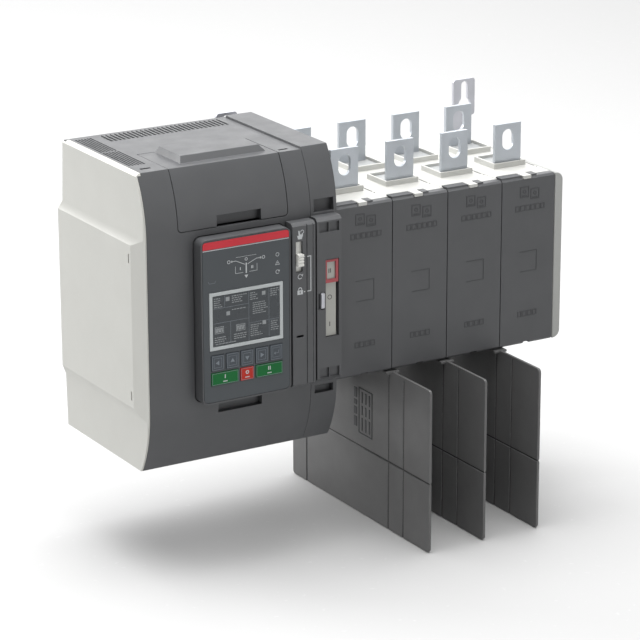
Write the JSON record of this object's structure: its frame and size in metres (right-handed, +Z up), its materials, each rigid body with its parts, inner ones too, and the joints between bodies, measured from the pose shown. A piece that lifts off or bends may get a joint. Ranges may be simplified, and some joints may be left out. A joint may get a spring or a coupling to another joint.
{
  "type": "automatic transfer switch",
  "caption": "Motor-driven changeover switch: mechanism box with display unit and keys, beside a block of switch poles with bolt-on terminals and phase barriers.",
  "frame": {"origin": "on the mounting plane, behind the middle of the first pole, at the pole block's mid height", "axes": "+X along the row of poles away from the mechanism, +Y out of the back into the mounting plate, +Z up towards the source terminals"},
  "size_m": [0.3874, 0.206, 0.3194],
  "materials": {
    "dark_plastic": "fine spark-eroded grain, dark grey moulding",
    "light_plastic": "fine grain, light grey moulding",
    "cream_plastic": "smooth off-white glass-filled moulding",
    "barrier_plastic": "smooth dark grey sheet moulding with break-off grooves",
    "fascia_film": "fine textured polyester film",
    "display_glass": "display window with printed fields",
    "frame_grey": "light grey satin",
    "key_grey": "embossed film key with a light outline",
    "key_green": "embossed green film key with a white symbol",
    "key_red": "embossed red film key with a white symbol",
    "scale_plate": "printed plate with the marks I, O and II",
    "pointer_red": "red moulding",
    "tinned_copper": "satin tin plate on copper bar",
    "contact_copper": "bare copper",
    "zinc_steel": "bright zinc plate",
    "dark_steel": "oiled dark steel",
    "circuit_board": "green circuit board",
    "terminal_green": "green pluggable terminal blocks",
    "transformer_winding": "varnished copper winding on a laminated core"
  },
  "bodies": {
    "frame": {"mechanism_base": "dark_plastic", "front_cover": "dark_plastic", "drive_side_cover": "dark_plastic", "selector_panel": "dark_plastic", "indicator_column": "dark_plastic", "pole_cover_1": "dark_plastic", "pole_cover_2": "dark_plastic", "pole_cover_3": "dark_plastic", "pole_cover_4": "dark_plastic", "side_cover": "light_plastic", "end_cap": "light_plastic", "pole_housing_1": "cream_plastic", "pole_housing_2": "cream_plastic", "pole_housing_3": "cream_plastic", "pole_housing_4": "cream_plastic", "phase_barrier_1": "barrier_plastic", "phase_barrier_2": "barrier_plastic", "phase_barrier_3": "barrier_plastic", "indicator_plate": "scale_plate", "front_terminal_1": "tinned_copper", "front_terminal_2": "tinned_copper", "front_terminal_3": "tinned_copper", "front_terminal_4": "tinned_copper", "rear_terminal_1": "tinned_copper", "rear_terminal_2": "tinned_copper", "rear_terminal_3": "tinned_copper", "rear_terminal_4": "tinned_copper", "load_terminal_1": "tinned_copper", "load_terminal_2": "tinned_copper", "load_terminal_3": "tinned_copper", "load_terminal_4": "tinned_copper", "left_mounting_bracket": "zinc_steel", "right_mounting_bracket": "zinc_steel", "drive_motor": "dark_steel", "control_board": "circuit_board", "terminal_strip": "terminal_green", "power_transformer": "transformer_winding"},
    "switch_shaft": {"drive_shaft": "dark_steel", "shaft_gear": "dark_steel", "contact_arm_1": "contact_copper", "contact_arm_2": "contact_copper", "contact_arm_3": "contact_copper", "contact_arm_4": "contact_copper"},
    "motor_rotor": {"motor_pinion": "dark_steel"},
    "position_pointer": {"position_pointer": "pointer_red"},
    "mode_selector": {"mode_selector": "frame_grey"},
    "padlock_tab": {"padlock_tab": "zinc_steel"},
    "display_unit": {"display_housing": "dark_plastic", "display_fascia": "fascia_film", "display_frame": "frame_grey", "display_panel": "display_glass"},
    "connector_cover": {"connector_cover": "dark_plastic"},
    "menu_key_1": {"menu_key_1": "key_grey"},
    "menu_key_2": {"menu_key_2": "key_grey"},
    "menu_key_3": {"menu_key_3": "key_grey"},
    "menu_key_4": {"menu_key_4": "key_grey"},
    "menu_key_5": {"menu_key_5": "key_grey"},
    "source_one_key": {"source_one_key": "key_green"},
    "off_key": {"off_key": "key_red"},
    "source_two_key": {"source_two_key": "key_green"}
  },
  "joints": [
    {"name": "shaft_swing", "type": "hinge", "parent": "frame", "child": "switch_shaft", "pos_m": [0, -0.07935, 0], "axis": [1, 0, 0], "range_deg": [0, 90]},
    {"name": "motor_spin", "type": "hinge", "parent": "frame", "child": "motor_rotor", "pos_m": [-0.04, -0.05135, -0.028], "axis": [1, 0, 0], "range_deg": [-180, 0]},
    {"name": "pointer_slide", "type": "slide", "parent": "frame", "child": "position_pointer", "axis": [0, 0, 1], "range_m": [-0.0415, 0]},
    {"name": "mode_selector_slide", "type": "slide", "parent": "frame", "child": "mode_selector", "axis": [0, 0, 1], "range_m": [0, 0.009]},
    {"name": "padlock_tab_slide", "type": "slide", "parent": "frame", "child": "padlock_tab", "axis": [0, -1, 0], "range_m": [0, 0.015]},
    {"name": "display_unit_slide", "type": "slide", "parent": "frame", "child": "display_unit", "axis": [0, -1, 0], "range_m": [0, 0.04]},
    {"name": "connector_cover_slide", "type": "slide", "parent": "frame", "child": "connector_cover", "axis": [0, -0.7071, 0.7071], "range_m": [0, 0.04]},
    {"name": "menu_key_1_press", "type": "slide", "parent": "display_unit", "child": "menu_key_1", "axis": [0, 1, 0], "range_m": [0, 0.0006], "stiffness_N_per_m": 2000},
    {"name": "menu_key_2_press", "type": "slide", "parent": "display_unit", "child": "menu_key_2", "axis": [0, 1, 0], "range_m": [0, 0.0006], "stiffness_N_per_m": 2000},
    {"name": "menu_key_3_press", "type": "slide", "parent": "display_unit", "child": "menu_key_3", "axis": [0, 1, 0], "range_m": [0, 0.0006], "stiffness_N_per_m": 2000},
    {"name": "menu_key_4_press", "type": "slide", "parent": "display_unit", "child": "menu_key_4", "axis": [0, 1, 0], "range_m": [0, 0.0006], "stiffness_N_per_m": 2000},
    {"name": "menu_key_5_press", "type": "slide", "parent": "display_unit", "child": "menu_key_5", "axis": [0, 1, 0], "range_m": [0, 0.0006], "stiffness_N_per_m": 2000},
    {"name": "source_one_key_press", "type": "slide", "parent": "display_unit", "child": "source_one_key", "axis": [0, 1, 0], "range_m": [0, 0.0006], "stiffness_N_per_m": 2000},
    {"name": "off_key_press", "type": "slide", "parent": "display_unit", "child": "off_key", "axis": [0, 1, 0], "range_m": [0, 0.0006], "stiffness_N_per_m": 2000},
    {"name": "source_two_key_press", "type": "slide", "parent": "display_unit", "child": "source_two_key", "axis": [0, 1, 0], "range_m": [0, 0.0006], "stiffness_N_per_m": 2000}
  ],
  "couplings": [
    {"joint": "motor_spin", "follows": "shaft_swing", "ratio": -2},
    {"joint": "pointer_slide", "follows": "shaft_swing", "m_per_rad": -0.0264}
  ]
}
